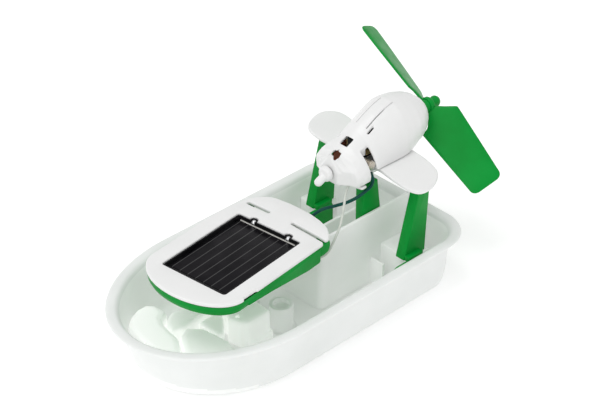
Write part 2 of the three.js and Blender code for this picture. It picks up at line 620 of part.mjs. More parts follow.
// Plan of the white frame with its visor, and a shallow finger notch near the bow.
function framePlan() {
  const { halfWidth: w, bowU, bowCurve } = PANEL;
  const start = bowU + bowCurve;
  const shape = new THREE.Shape();
  shape.moveTo(start, -w);
  const side = [
    [-18.9, -w + 0.8], [-12.4, -w + 0.6], [-11.4, -w], [27.4, -w], [29.2, -22], [31.8, -20.4], [34.9, -16.9],
    [36.9, -11.7], [38.2, -5.8], [38.5, -0.6], [38.6, 4.5], [38.1, 10.6], [37, 14.2], [33.5, 17.5],
    [30.2, 19.2], [23.6, 20.8], [16, 22], [8, w], [start, w],
  ];
  side.forEach(([u, v]) => shape.lineTo(u, v));
  shape.absellipse(start, 0, bowCurve, w, Math.PI / 2, 1.5 * Math.PI);
  return shape;
}

const FRAME_BOTTOM = PANEL.top - PANEL.frameThickness;
const SHELL_TOP = FRAME_BOTTOM - GAP;

{
  const { windowHalfLength: a, windowHalfWidth: b } = PANEL;
  const plate = solid(standing(framePlan(), FRAME_BOTTOM, PANEL.top, 14));
  const window = solid(standing(roundedRect(-a, a, -b, b, 1.2), FRAME_BOTTOM - 6, PANEL.top + 1, 4));
  const skirtPlan = roundedRect(-a - 1, a + 1, -b - 1, b + 1, 1.6);
  const skirt = solid(standing(skirtPlan, FRAME_BOTTOM - 2.9, FRAME_BOTTOM + 0.5, 4));
  const slotPlans = [
    outline([[26, -24], [27, -24], [29, -4.6], [28.1, -4.4]]),
    roundedRect(28.4, 29.3, 6.4, 17.6, 0.4),
  ];
  const slots = slotPlans.map((shape) => solid(standing(shape, FRAME_BOTTOM - 1, PANEL.top + 1, 4)));
  const frame = geometryOf(cut(join(plate, skirt), window, ...slots));
  add('panel_frame', frame, COLOUR.white, 0.4, 0, panel);

  const cellTop = PANEL.top - PANEL.cellDrop;
  const cell = standing(roundedRect(-a + GAP, a - GAP, -b + GAP, b - GAP, 1.2), cellTop - 1.2, cellTop, 4);
  add('solar_cell', cell, COLOUR.black, 0.15, 0.1, panel);
  for (const [name, v] of [['far', 8], ['near', -9]]) {
    const blob = new THREE.SphereGeometry(1.3, 16, 10).scale(1, 1, 0.5);
    blob.translate(a - 1.9, v, cellTop + GAP + 0.66);
    add(`solder_terminal_${name}`, blob, COLOUR.steel, 0.25, 0.95, panel);
  }

  // green shell: a tray under the frame, deeper towards the stern, with two barrels of the tilt hinge
  const { shellStep, shellBottom, boxFrontU, shellWall, sternU, halfWidth } = PANEL;
  const side = halfWidth - 0.4;
  const boxPlan = (inset) => (
    roundedRect(boxFrontU + inset, sternU + 0.2 - inset, -side + inset, side - inset, 2.8 - inset));
  const boxAt = (inset, z0, z1) => solid(standing(boxPlan(inset), z0, z1, 8));
  const trayAt = (inset, z0, z1) => solid(standing(panelPlan(0.4 + inset, sternU + 0.6), z0, z1, 14));
  const barrels = [];
  for (const [v0, v1] of [[-HINGE.barrelTo, -HINGE.barrelFrom], [HINGE.barrelFrom, HINGE.barrelTo]]) {
    barrels.push(solid(acrossY(circle(HINGE.u, HINGE.z, HINGE.barrel), v0, v1, 12)));
    barrels.push(solid(box(sternU - 0.6, HINGE.u, v0, v1, HINGE.z - 2, HINGE.z + HINGE.barrel - 0.1)));
  }
  const pinHalf = HINGE.barrelTo - 1;
  const pinBore = solid(acrossY(circle(HINGE.u, HINGE.z, HINGE.pin + GAP), -pinHalf - GAP, 30, 10));
  const shell = cut(
    join(trayAt(0, shellStep, SHELL_TOP), boxAt(0, shellBottom, shellStep + 0.5), ...barrels),
    trayAt(shellWall, shellStep + shellWall, SHELL_TOP + 1),
    boxAt(shellWall, shellBottom + shellWall, SHELL_TOP),
    pinBore,
  );
  add('panel_shell', geometryOf(shell), COLOUR.green, 0.36, 0, panel);
  const pin = acrossY(circle(HINGE.u, HINGE.z, HINGE.pin), -pinHalf, pinHalf, 12);
  add('hinge_pin', pin, COLOUR.steel, 0.3, 1, panel);
  for (const [name, v] of [['far', 15], ['near', -15]]) {
    const head = new THREE.CylinderGeometry(1.5, 1.5, 1, 16).rotateX(Math.PI / 2);
    head.translate(-12, v, shellStep - GAP - 0.5);
    add(`panel_screw_${name}`, head, COLOUR.steel, 0.35, 1, panel);
  }

  // yoke: a barrel on the pin, over a round foot that turns on the clip's stud
  const half = HINGE.yokeHalf;
  const barrel = solid(acrossY(circle(HINGE.u, HINGE.z, HINGE.barrel - 0.5), -half, half, 12));
  const neck = solid(box(HINGE.u - 1.8, HINGE.u + 1.8, -half + 1, half - 1, 30, HINGE.z));
  const foot = solid(standing(circle(HINGE.u, 0, 2.9), 27.7, 30.4, 16));
  const studBore = solid(standing(circle(HINGE.u, 0, HINGE.stud + GAP), 27, 29.9, 14));
  const yokeBore = solid(acrossY(circle(HINGE.u, HINGE.z, HINGE.pin + GAP), -30, 30, 10));
  const yoke = cut(join(barrel, neck, foot), studBore, yokeBore);
  add('panel_yoke', geometryOf(yoke), COLOUR.white, 0.45, 0, panel);
}

// ---------------------------------------------------------------- clip that carries the panel
{
  const yaw = THREE.MathUtils.degToRad(PANEL.yawDeg);
  const [studX, studY] = [PANEL.x + HINGE.u * Math.cos(yaw), PANEL.y + HINGE.u * Math.sin(yaw)];
  const { frontX, wall, height } = WELL;
  const [y0, y1] = [studY - 5, studY + 5];
  const shelf = solid(standing(roundedRect(studX - 4.6, frontX - GAP, y0, y1, 2.2), 25.6, 27.4, 5));
  const gusset = outline([[studX + 1.5, 25.7], [frontX - 0.9, 20.5], [frontX - 0.9, 25.7]]);
  const web = solid(acrossY(gusset, studY - 0.8, studY + 0.8));
  const front = solid(box(frontX - 1.7, frontX - GAP, y0, y1, 20, height + 1.3));
  const roof = solid(box(frontX - 1.7, frontX + wall + 1.7, y0, y1, height + GAP, height + 1.3));
  const back = solid(box(frontX + wall + GAP, frontX + wall + 1.7, y0, y1, height - 6, height + 1.3));
  const stud = solid(standing(circle(studX, studY, HINGE.stud), 27, 29.6, 14));
  add('panel_clip', geometryOf(join(shelf, web, front, roof, back, stud)), COLOUR.white, 0.45);
}

// ---------------------------------------------------------------- wires
function wire(points, diameter) {
  const curve = new THREE.CatmullRomCurve3(points.map(([x, y, z]) => new THREE.Vector3(x, y, z)));
  const steps = Math.round(curve.getLength() / (diameter * 1.5));
  const shape = circle(0, 0, diameter / 2);
  return new THREE.ExtrudeGeometry(shape, { extrudePath: curve, steps, curveSegments: 4, bevelEnabled: false });
}

// from the gap in the pod, under the nose, and down to the clip
const TEAL_ROUTE = [
  [42.4, -10.4, 51.5], [42.6, -10.9, 49.9], [42.7, -11.2, 48.3], [42, -11.4, 46.7], [40.3, -11.5, 45.7],
  [38.4, -11.3, 45], [36.6, -10.8, 44.1], [35, -10, 43.1], [33.5, -8.8, 42], [32.1, -7.2, 40.8],
  [30.9, -5.3, 39.7], [29.7, -3.4, 38.6], [28.4, -1.6, 37.7], [27, -0.1, 36.9], [25.2, 1.2, 35.7],
  [23.4, 2.2, 34.2], [21.6, 2.8, 32.6], [19.7, 3.1, 31.4], [17.5, 3.2, 31],
];
// from under the nose cowl, down beside the well and round its corner to the clip
const WHITE_ROUTE = [
  [36.2, -6.4, 51.2], [35.6, -6.4, 50.4], [35.1, -6.5, 49.4], [34.5, -6.6, 48.3], [33.7, -6.8, 47.3],
  [32.7, -7.1, 46.4], [31.6, -7.7, 45.5], [30.4, -8.5, 44.4], [29, -9.6, 43.1], [27.3, -10.8, 41.6],
  [25.2, -12.2, 39.6], [22.8, -13.4, 37], [20.1, -14.1, 34.3], [17.5, -14.6, 31.7], [14.8, -15, 29.9],
  [12.2, -14.4, 28.9], [10.6, -12.6, 28.7], [10.2, -9.8, 28.7], [10.7, -6.8, 28.8], [11.6, -4.4, 28.9],
  [12.6, -2.6, 28.9],
];
add('teal_wire', wire(TEAL_ROUTE, WIRE.teal), COLOUR.teal, 0.5);
add('white_wire', wire(WHITE_ROUTE, WIRE.white), COLOUR.whiteWire, 0.5);

export default part;
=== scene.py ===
"""Looks for a solar air boat kit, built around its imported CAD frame.

Lengths are in millimetres here, and MM turns them into metres where a piece is placed.
"""
import json
import math

import bmesh
import bpy
from mathutils import Matrix, Vector


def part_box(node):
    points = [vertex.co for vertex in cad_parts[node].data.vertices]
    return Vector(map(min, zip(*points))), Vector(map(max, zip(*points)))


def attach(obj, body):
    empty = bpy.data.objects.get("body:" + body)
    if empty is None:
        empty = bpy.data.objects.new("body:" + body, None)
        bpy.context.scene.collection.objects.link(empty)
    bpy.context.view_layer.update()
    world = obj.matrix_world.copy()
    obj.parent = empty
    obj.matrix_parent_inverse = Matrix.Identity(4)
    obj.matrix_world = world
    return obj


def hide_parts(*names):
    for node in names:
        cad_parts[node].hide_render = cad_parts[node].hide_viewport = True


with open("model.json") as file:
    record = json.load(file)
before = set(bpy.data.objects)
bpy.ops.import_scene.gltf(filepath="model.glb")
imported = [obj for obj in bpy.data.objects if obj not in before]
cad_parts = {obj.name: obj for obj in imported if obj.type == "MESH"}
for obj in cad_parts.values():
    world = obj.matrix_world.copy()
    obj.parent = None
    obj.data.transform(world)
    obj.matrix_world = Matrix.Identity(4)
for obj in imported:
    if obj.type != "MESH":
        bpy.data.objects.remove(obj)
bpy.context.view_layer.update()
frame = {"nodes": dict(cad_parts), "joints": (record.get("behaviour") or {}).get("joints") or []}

MM = 0.001

# ---------------------------------------------------------------- places taken from the frame
JOINTS = {joint["name"]: joint for joint in frame["joints"]}
tilt_axis = Vector(JOINTS["panel_tilt"]["axis"])
tilt_pivot = Vector(JOINTS["panel_tilt"]["pos_m"]) / MM
YAW = math.atan2(-tilt_axis.x, tilt_axis.y)
HINGE_U, HINGE_Z = 29.0, tilt_pivot.z
PANEL = Matrix.Translation((tilt_pivot.x, tilt_pivot.y, 0)) @ Matrix.Rotation(YAW, 4, "Z") \
    @ Matrix.Translation((-HINGE_U, 0, 0))



def node_box(node):
    """The low and high corners of a CAD node, in millimetres."""
    low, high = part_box(node)
    return low / MM, high / MM


hull_low, hull_high = node_box("hull")
frame_low, frame_high = node_box("panel_frame")
shell_low, shell_high = node_box("panel_shell")
shaft_low, shaft_high = node_box("motor_shaft")
AXIS_Z = (shaft_low.z + shaft_high.z) / 2
SPIN_X = JOINTS["propeller_spin"]["pos_m"][0] / MM
# the panel's window, from its bow edge to its stern edge and to either side
WINDOW_BOW, WINDOW_STERN, WINDOW_V = -22.1, 21.2, 15.4

# ---------------------------------------------------------------- materials


class Shader:
    """A Principled material whose colour, roughness and bump come from procedural nodes."""

    def __init__(self, name, roughness, metallic=0.0, **sockets):
        self.material = bpy.data.materials.new(name)
        self.material.use_nodes = True
        self.tree = self.material.node_tree
        self.bsdf = self.tree.nodes["Principled BSDF"]
        self.bsdf.inputs["Roughness"].default_value = roughness
        self.bsdf.inputs["Metallic"].default_value = metallic
        for socket, value in sockets.items():
            self.bsdf.inputs[socket.replace("_", " ")].default_value = value
        self.coords = self.tree.nodes.new("ShaderNodeTexCoord")

    def node(self, kind, **settings):
        made = self.tree.nodes.new(kind)
        for key, value in settings.items():
            if key in made.inputs:
                made.inputs[key].default_value = value
            else:
                setattr(made, key, value)
        return made

    def link(self, source, target):
        self.tree.links.new(source, target)

    def noise(self, scale, detail, stretch=(1, 1, 1)):
        mapping = self.node("ShaderNodeMapping")
        mapping.inputs["Scale"].default_value = stretch
        self.link(self.coords.outputs["Object"], mapping.inputs["Vector"])
        noise = self.node("ShaderNodeTexNoise", Scale=scale, Detail=detail)
        self.link(mapping.outputs["Vector"], noise.inputs["Vector"])
        return noise.outputs["Fac"]

    def ramp(self, fac, stops):
        ramp = self.node("ShaderNodeValToRGB")
        elements = ramp.color_ramp.elements
        for index, (position, colour) in enumerate(stops):
            element = elements[index] if index < len(elements) else elements.new(position)
            element.position = position
            element.color = (*colour, 1)
        self.link(fac, ramp.inputs["Fac"])
        return ramp.outputs["Color"]

    def spread(self, fac, low, high):
        """The middle of a noise's range, stretched out between two values."""
        scaled = self.node("ShaderNodeMapRange")
        scaled.inputs["From Min"].default_value = 0.3
        scaled.inputs["From Max"].default_value = 0.7
        scaled.inputs["To Min"].default_value = low
        scaled.inputs["To Max"].default_value = high
        self.link(fac, scaled.inputs["Value"])
        return scaled.outputs["Result"]

    def bump(self, height, distance, strength, under=None):
        bump = self.node("ShaderNodeBump", Distance=distance, Strength=strength)
        self.link(height, bump.inputs["Height"])
        if under is not None:
            self.link(under, bump.inputs["Normal"])
        self.link(bump.outputs["Normal"], self.bsdf.inputs["Normal"])
        return bump.outputs["Normal"]


def moulded_plastic(name, dark, light, roughness, grain=0.00002, **sockets):
    """Injection-moulded plastic: a faint cloudiness in the colour, uneven gloss and a fine skin."""
    shader = Shader(name, roughness, **sockets)
    cloud = shader.noise(55, 4)
    shader.link(shader.ramp(cloud, [(0.3, dark), (0.7, light)]), shader.bsdf.inputs["Base Color"])
    gloss = shader.noise(240, 3)
    shader.link(shader.spread(gloss, roughness - 0.05, roughness + 0.07), shader.bsdf.inputs["Roughness"])
    flow = shader.bump(shader.noise(90, 2), 0.0001, 0.12)
    shader.bump(shader.noise(2600, 2), grain, 0.35, flow)
    return shader.material


def drawn_metal(name, dark, light, roughness, stretch=(1, 14, 14)):
    """Plain metal with fine drawn lines along one way."""
    shader = Shader(name, roughness, metallic=1.0)
    lines = shader.noise(420, 3, stretch)
    shader.link(shader.ramp(lines, [(0.3, dark), (0.7, light)]), shader.bsdf.inputs["Base Color"])
    shader.link(shader.spread(lines, roughness - 0.06, roughness + 0.1), shader.bsdf.inputs["Roughness"])
    shader.bump(lines, 0.00003, 0.3)
    return shader.material


def wound_copper(name):
    """Enamelled wire, seen as fine bands with a varnish over them."""
    shader = Shader(name, 0.3, metallic=0.85, Coat_Weight=0.6, Coat_Roughness=0.15)
    wave = shader.node("ShaderNodeTexWave", bands_direction="X", Scale=900.0, Distortion=1.5)
    shader.link(shader.coords.outputs["Object"], wave.inputs["Vector"])
    bands = wave.outputs["Fac"]
    shader.link(shader.ramp(bands, [(0.1, (0.2, 0.05, 0.02)), (0.8, (0.66, 0.24, 0.1))]),
                shader.bsdf.inputs["Base Color"])
    shader.bump(bands, 0.00008, 0.7)
    return shader.material


def wire_sleeve(name, dark, light):
    """Soft insulation with a slightly uneven, satin skin."""
    shader = Shader(name, 0.42, Specular_IOR_Level=0.2)
    tint = shader.ramp(shader.noise(500, 3), [(0.3, dark), (0.7, light)])
    shader.link(tint, shader.bsdf.inputs["Base Color"])
    shader.link(shader.spread(shader.noise(900, 2), 0.36, 0.52), shader.bsdf.inputs["Roughness"])
    shader.bump(shader.noise(1500, 2), 0.00004, 0.4)
    return shader.material


def epoxy_cell(name, half_width, line_count):
    """Dark cell under clear epoxy, with thin silver collector lines that run along the panel."""
    shader = Shader(name, 0.2, Coat_Weight=0.06, Coat_Roughness=0.06, Specular_IOR_Level=0.06)
    turned_coords = shader.node("ShaderNodeMapping", vector_type="TEXTURE")
    turned_coords.inputs["Rotation"].default_value = (0, 0, YAW)
    shader.link(shader.coords.outputs["Object"], turned_coords.inputs["Vector"])
    parts = shader.node("ShaderNodeSeparateXYZ")
    shader.link(turned_coords.outputs["Vector"], parts.inputs["Vector"])
    count = shader.node("ShaderNodeMath", operation="DIVIDE")
    count.inputs[1].default_value = 2 * half_width * MM / line_count
    shader.link(parts.outputs["Y"], count.inputs[0])
    near_line = shader.node("ShaderNodeMath", operation="PINGPONG")
    near_line.inputs[1].default_value = 0.5
    shader.link(count.outputs["Value"], near_line.inputs[0])
    line = shader.node("ShaderNodeMath", operation="LESS_THAN")
    line.inputs[1].default_value = 0.045
    shader.link(near_line.outputs["Value"], line.inputs[0])
    crystal = shader.ramp(shader.noise(130, 6),
                          [(0.3, (0.004, 0.0035, 0.005)), (0.7, (0.012, 0.011, 0.013))])
    mix = shader.node("ShaderNodeMix", data_type="RGBA")
    mix.inputs["B"].default_value = (0.07, 0.07, 0.07, 1)
    shader.link(line.outputs["Value"], mix.inputs["Factor"])
    shader.link(crystal, mix.inputs["A"])
    shader.link(mix.outputs["Result"], shader.bsdf.inputs["Base Color"])
    shader.link(shader.spread(shader.noise(700, 3), 0.18, 0.3), shader.bsdf.inputs["Roughness"])
    shader.bump(shader.noise(160, 2), 0.00005, 0.2)
    return shader.material


def subsurface_and_painted_glow(weight, scale, glow=0.0):
    """Sockets for a thin white moulding that light passes into, and for a painted glow: an emission that
    brightens it though it is no lamp.
    """
    sockets = {"Subsurface_Weight": weight, "Subsurface_Radius": (1.0, 1.0, 1.0), "Subsurface_Scale": scale}
    # painted glow: emission that lights the surface itself
    if glow:
        sockets.update(Emission_Color=(0.97, 1.0, 0.96, 1.0), Emission_Strength=glow)
    return sockets


white_plastic = moulded_plastic("white_moulded", (0.83, 0.835, 0.83), (0.87, 0.87, 0.865), 0.36,
                                **subsurface_and_painted_glow(0.12, 0.0015))
hull_plastic = moulded_plastic("hull_moulded", (0.79, 0.81, 0.795), (0.84, 0.855, 0.845), 0.36,
                               **subsurface_and_painted_glow(0.4, 0.0024))
# painted glow: the hull's inner faces and what stands in them emit a little light, brightening them as if
# daylight came through the thin hull
hull_inside_painted_glow = moulded_plastic("hull_inner_face", (0.79, 0.805, 0.79), (0.84, 0.85, 0.84), 0.4,
                              **subsurface_and_painted_glow(0.4, 0.0024, 0.1))
# painted light: the pieces under the panel get a lighter white than the hull and a painted glow (emission) to
# lift them out of the panel's shade
loose_white_painted_glow = moulded_plastic("loose_moulded", (0.88, 0.885, 0.875), (0.92, 0.925, 0.915), 0.4,
                              **subsurface_and_painted_glow(0.5, 0.003, 0.22))
green_plastic = moulded_plastic("green_moulded", (0.0, 0.25, 0.028), (0.001, 0.32, 0.042), 0.36,
                                Specular_IOR_Level=0.14, Coat_Weight=0.03, Coat_Roughness=0.15)
black_plastic = moulded_plastic("black_moulded", (0.006, 0.006, 0.007), (0.016, 0.016, 0.018), 0.42)
steel = drawn_metal("drawn_steel", (0.5, 0.51, 0.52), (0.72, 0.73, 0.74), 0.28)
brass = drawn_metal("brass_strip", (0.62, 0.45, 0.18), (0.84, 0.68, 0.34), 0.26)
copper = wound_copper("enamelled_copper")
ferrite = moulded_plastic("sintered_ferrite", (0.03, 0.03, 0.032), (0.07, 0.07, 0.072), 0.6, 0.00006)
teal_sleeve = wire_sleeve("teal_sleeve", (0.001, 0.055, 0.042), (0.003, 0.085, 0.07))
white_sleeve = wire_sleeve("white_sleeve", (0.56, 0.6, 0.55), (0.68, 0.71, 0.65))
solder = drawn_metal("bright_solder", (0.55, 0.56, 0.57), (0.85, 0.86, 0.87), 0.18, (1, 1, 1))
cell_face = epoxy_cell("solar_cell_face", WINDOW_V, 8)
cell_rim = moulded_plastic("cell_epoxy_rim", (0.004, 0.004, 0.005), (0.012, 0.012, 0.013), 0.2,
                           Specular_IOR_Level=0.12, Coat_Weight=0.12, Coat_Roughness=0.06)
spring_nickel = drawn_metal("spring_nickel", (0.52, 0.46, 0.38), (0.76, 0.72, 0.64), 0.27)
old_copper = drawn_metal("old_copper", (0.24, 0.07, 0.045), (0.42, 0.15, 0.09), 0.42, (3, 3, 3))
cream_tape = moulded_plastic("busbar_tape", (0.5, 0.49, 0.46), (0.68, 0.67, 0.63), 0.45)

# ---------------------------------------------------------------- mesh helpers


def new_piece(name, mesh, material, body, stands_for, sharp_deg):
    """Links a mesh that is in place, in metres, and puts it on its body in place of some CAD nodes."""
    mesh.name = name
    for polygon in mesh.polygons:
        polygon.use_smooth = True
    mesh.set_sharp_from_angle(angle=math.radians(sharp_deg))
    mesh.materials.clear()
    mesh.materials.append(material)
    made = bpy.data.objects.new(name, mesh)
    bpy.context.scene.collection.objects.link(made)
    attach(made, body)
    if stands_for:
        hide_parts(*stands_for)
    return made


def raw_mesh(points, faces):
    """A mesh with its double points welded and its faces turned outwards."""
    mesh = bpy.data.meshes.new("raw")
    mesh.from_pydata([Vector(p) for p in points], [], faces)
    mesh.validate()
    weld = bmesh.new()
    weld.from_mesh(mesh)
    bmesh.ops.remove_doubles(weld, verts=weld.verts, dist=1e-5)
    bmesh.ops.recalc_face_normals(weld, faces=weld.faces)
    weld.to_mesh(mesh)
    weld.free()
    return mesh


def placed(mesh, matrix=None):
    """Applies a placement given in millimetres, then turns the mesh into metres."""
    if matrix is not None:
        mesh.transform(matrix)
    mesh.transform(Matrix.Scale(MM, 4))
    return mesh


def merged(*meshes):
    """One mesh out of several that lie in the same units."""
    whole = bmesh.new()
    for mesh in meshes:
        whole.from_mesh(mesh)
        bpy.data.meshes.remove(mesh)
    out = bpy.data.meshes.new("merged")
    whole.to_mesh(out)
    whole.free()
    return out


def loft(rings, capped=True):
    """A skin over closed rings that all have as many points."""
    count = len(rings[0])
    points = [p for ring in rings for p in ring]
    faces = []
    for k in range(len(rings) - 1):
        for i in range(count):
            a, b = k * count + i, k * count + (i + 1) % count
            faces.append((a, b, b + count, a + count))
    if capped:
        faces.append(tuple(reversed(range(count))))
        faces.append(tuple(range((len(rings) - 1) * count, len(rings) * count)))
    return raw_mesh(points, faces)


def catmull_rom(before, start, end, after, t):
    """One number on the smooth curve between two of four numbers in a row."""
    slope = end - before
    square = 2 * before - 5 * start + 4 * end - after
    cube = 3 * start - before - 3 * end + after
    return 0.5 * (2 * start + slope * t + square * t * t + cube * t ** 3)


def smooth_rows(rows, steps):
    """A smooth curve through rows of numbers, each taken by itself."""
    out = []
    for i in range(len(rows) - 1):
        four_rows = [rows[max(0, min(len(rows) - 1, i + k))] for k in (-1, 0, 1, 2)]
        for s in range(steps):
            out.append(tuple(catmull_rom(*numbers, s / steps) for numbers in zip(*four_rows)))
    out.append(tuple(rows[-1]))
    return out


def arc(cx, cy, radius, start_deg, end_deg, steps, radius_y=None):
    """Points on an arc or an ellipse's arc."""
    radius_y = radius if radius_y is None else radius_y
    angles = [math.radians(start_deg + (end_deg - start_deg) * i / steps) for i in range(steps + 1)]
    return [(cx + radius * math.cos(t), cy + radius_y * math.sin(t)) for t in angles]


CORNER_STEPS = 5


def rounded(points, radius):
    """The outline with each corner rounded. A point may carry its own radius as a third number."""
    out = []
    count = len(points)
    for i, point in enumerate(points):
        here = Vector(point[:2])
        before = Vector(points[i - 1][:2]) - here
        after = Vector(points[(i + 1) % count][:2]) - here
        r = point[2] if len(point) > 2 else radius
        angle = before.angle(after)
        if r <= 0 or angle > 3.1:
            out.append(tuple(here))
            continue
        cut = min(r / math.tan(angle / 2), before.length * 0.48, after.length * 0.48)
        p0, p2 = here + before.normalized() * cut, here + after.normalized() * cut
        for s in range(CORNER_STEPS + 1):
            t = s / CORNER_STEPS
            out.append(tuple(p0 * (1 - t) ** 2 + here * 2 * t * (1 - t) + p2 * t * t))
    return out


def plate(outline, low, high, edge, holes=()):
    """A flat plate in X and Y between two heights, with rounded edges and holes."""
    curve = bpy.data.curves.new("plate", "CURVE")
    curve.dimensions = "2D"
    curve.fill_mode = "BOTH"
    for points in (outline, *holes):
        spline = curve.splines.new("POLY")
        spline.points.add(len(points) - 1)
        for p, target in zip(points, spline.points):
            target.co = (p[0], p[1], 0, 1)
        spline.use_cyclic_u = True
    curve.extrude = (high - low) / 2 - edge
    curve.bevel_depth = edge
    curve.bevel_resolution = 2
    curve.offset = -edge
    holder = bpy.data.objects.new("plate", curve)
    bpy.context.scene.collection.objects.link(holder)
    bpy.context.view_layer.update()
    mesh = bpy.data.meshes.new_from_object(holder.evaluated_get(bpy.context.evaluated_depsgraph_get()))
    bpy.data.objects.remove(holder)
    bpy.data.curves.remove(curve)
    weld = bmesh.new()
    weld.from_mesh(mesh)
    bmesh.ops.remove_doubles(weld, verts=weld.verts, dist=1e-4)
    bmesh.ops.recalc_face_normals(weld, faces=weld.faces)
    weld.to_mesh(mesh)
    weld.free()
    mesh.materials.clear()
    mesh.transform(Matrix.Translation((0, 0, (low + high) / 2)))
    return mesh


ACROSS_Y = Matrix(((1, 0, 0, 0), (0, 0, -1, 0), (0, 1, 0, 0), (0, 0, 0, 1)))


def plate_across_y(outline, y0, y1, edge):
    """A plate drawn in X and Z that stands between two places along Y."""
    mesh = plate(outline, -y1, -y0, edge)
    mesh.transform(ACROSS_Y)
    return mesh


def box_outline(x0, x1, y0, y1):
    """The four corners of a rectangle."""
    return [(x0, y0), (x1, y0), (x1, y1), (x0, y1)]


def turned(profile, segments, matrix):
    """A solid of revolution about Z from (radius, z) points that start and end on the axis or close up."""
    rings = [[(r * math.cos(t), r * math.sin(t), z) for t in
              (2 * math.pi * i / segments for i in range(segments))] for r, z in profile]
    mesh = loft(rings, capped=False)
    mesh.transform(matrix)
    return mesh


ALONG_X = Matrix(((0, 0, 1, 0), (0, 1, 0, 0), (-1, 0, 0, 0), (0, 0, 0, 1)))


def about_shaft(profile, segments):
    """A solid of revolution about the motor shaft from (radius, x) points."""
    return turned(profile, segments, Matrix.Translation((0, 0, AXIS_Z)) @ ALONG_X)


def softened(mesh, voxel, rounds):
    """Remeshes a closed shape in millimetres and rounds its edges, as a mould does."""
    holder = bpy.data.objects.new("soft", mesh)
    bpy.context.scene.collection.objects.link(holder)
    remesh = holder.modifiers.new("remesh", "REMESH")
    remesh.mode = "VOXEL"
    remesh.voxel_size = voxel * 1
    smooth = holder.modifiers.new("smooth", "SMOOTH")
    smooth.factor = 0.5
    smooth.iterations = max(1, rounds // (1))
    bpy.context.view_layer.update()
    out = bpy.data.meshes.new_from_object(holder.evaluated_get(bpy.context.evaluated_depsgraph_get()))
    bpy.data.objects.remove(holder)
    return out


def carved(mesh, cutters):
    """The mesh with each cutter taken out of it, all in millimetres."""
    holder = bpy.data.objects.new("carved", mesh)
    bpy.context.scene.collection.objects.link(holder)
    tools = []
    for cutter in cutters:
        tool = bpy.data.objects.new("cutter", cutter)
        bpy.context.scene.collection.objects.link(tool)
        tools.append(tool)
        difference = holder.modifiers.new("cut", "BOOLEAN")
        difference.operation, difference.solver, difference.object = "DIFFERENCE", "EXACT", tool
    bpy.context.view_layer.update()
    out = bpy.data.meshes.new_from_object(holder.evaluated_get(bpy.context.evaluated_depsgraph_get()))
    for used in (holder, *tools):
        bpy.data.objects.remove(used)
    return out


def cad_copy(*nodes):
    """The named CAD nodes' own meshes as one, in millimetres."""
    meshes = []
    for node in nodes:
        mesh = frame["nodes"][node].data.copy()
        mesh.transform(Matrix.Scale(1 / MM, 4))
        weld = bmesh.new()
        weld.from_mesh(mesh)
        bmesh.ops.remove_doubles(weld, verts=weld.verts, dist=1e-3)
        weld.to_mesh(mesh)
        weld.free()
        meshes.append(mesh)
    return merged(*meshes)


def softened_node(node, voxel, rounds, material):
    """A white piece of the hull's body: its CAD shape with moulded edges."""
    mesh = placed(softened(cad_copy(node), voxel, rounds))
    new_piece(node + "_skin", mesh, material, "hull", (node,), 60)


# ---------------------------------------------------------------- camera, floor and light
CAMERA_AZIMUTH, CAMERA_ELEVATION = math.radians(-43.9), math.radians(33.8)
CAMERA_DISTANCE, CAMERA_RIGHT, CAMERA_UP = 0.746, 0.01066, 0.04069       # metres
LENS, SENSOR_WIDTH = 115.5, 36
LIGHTS_AIM = Vector((0.01, 0, 0.03))
FLOOR_REACH, FLOOR_GLOW, WORLD_GLOW = 9, 0.28, 0.7


def make_camera():
    a, e = CAMERA_AZIMUTH, CAMERA_ELEVATION
    back = Vector((math.sin(a) * math.cos(e), -math.cos(a) * math.cos(e), math.sin(e)))
    right = Vector((math.cos(a), math.sin(a), 0))
    up = back.cross(right)
    data = bpy.data.cameras.new("camera")
    data.lens = LENS
    data.sensor_width = SENSOR_WIDTH
    data.clip_start, data.clip_end = 0.01, 20
    camera = bpy.data.objects.new("camera", data)
    bpy.context.scene.collection.objects.link(camera)
    camera.location = back * CAMERA_DISTANCE + right * CAMERA_RIGHT + up * CAMERA_UP
    camera.rotation_mode = "QUATERNION"
    camera.rotation_quaternion = (-back).to_track_quat("-Z", "Y")
    bpy.context.scene.camera = camera


def area_light(name, place, size, watts):
    """A soft square lamp, in metres, that looks at the object."""
    data = bpy.data.lights.new(name, "AREA")
    data.shape = "SQUARE"
    data.size = size
    data.energy = watts
    light = bpy.data.objects.new(name, data)
    bpy.context.scene.collection.objects.link(light)
    light.location = place
    light.rotation_mode = "QUATERNION"
    light.rotation_quaternion = (LIGHTS_AIM - Vector(place)).to_track_quat("-Z", "Y")


def make_stage():
    corners = [(x, y, 0) for x, y in box_outline(-FLOOR_REACH, FLOOR_REACH, -FLOOR_REACH, FLOOR_REACH)]
    floor = bpy.data.objects.new("floor", raw_mesh(corners, [(0, 1, 2, 3)]))
    bpy.context.scene.collection.objects.link(floor)
    floor.location.z = -0.0001
    paper = Shader("floor_paper", 0.8)
    paper.link(paper.ramp(paper.noise(4, 2), [(0.3, (0.93, 0.93, 0.93)), (0.7, (0.94, 0.94, 0.94))]),
               paper.bsdf.inputs["Base Color"])
    paper.bsdf.inputs["Emission Color"].default_value = (1, 1, 1, 1)
    paper.bsdf.inputs["Emission Strength"].default_value = FLOOR_GLOW
    floor.data.materials.append(paper.material)
    world = bpy.data.worlds.new("studio")
    world.use_nodes = True
    sky = world.node_tree.nodes["Background"]
    sky.inputs["Color"].default_value = (1, 1, 1, 1)
    sky.inputs["Strength"].default_value = WORLD_GLOW
    bpy.context.scene.world = world
    bpy.context.scene.view_settings.view_transform = "Standard"
    area_light("key", (-0.45, 0.1, 1.35), 0.7, 5.0)
    area_light("bow_fill", (-0.95, -0.35, 0.7), 0.8, 1.6)


make_camera()

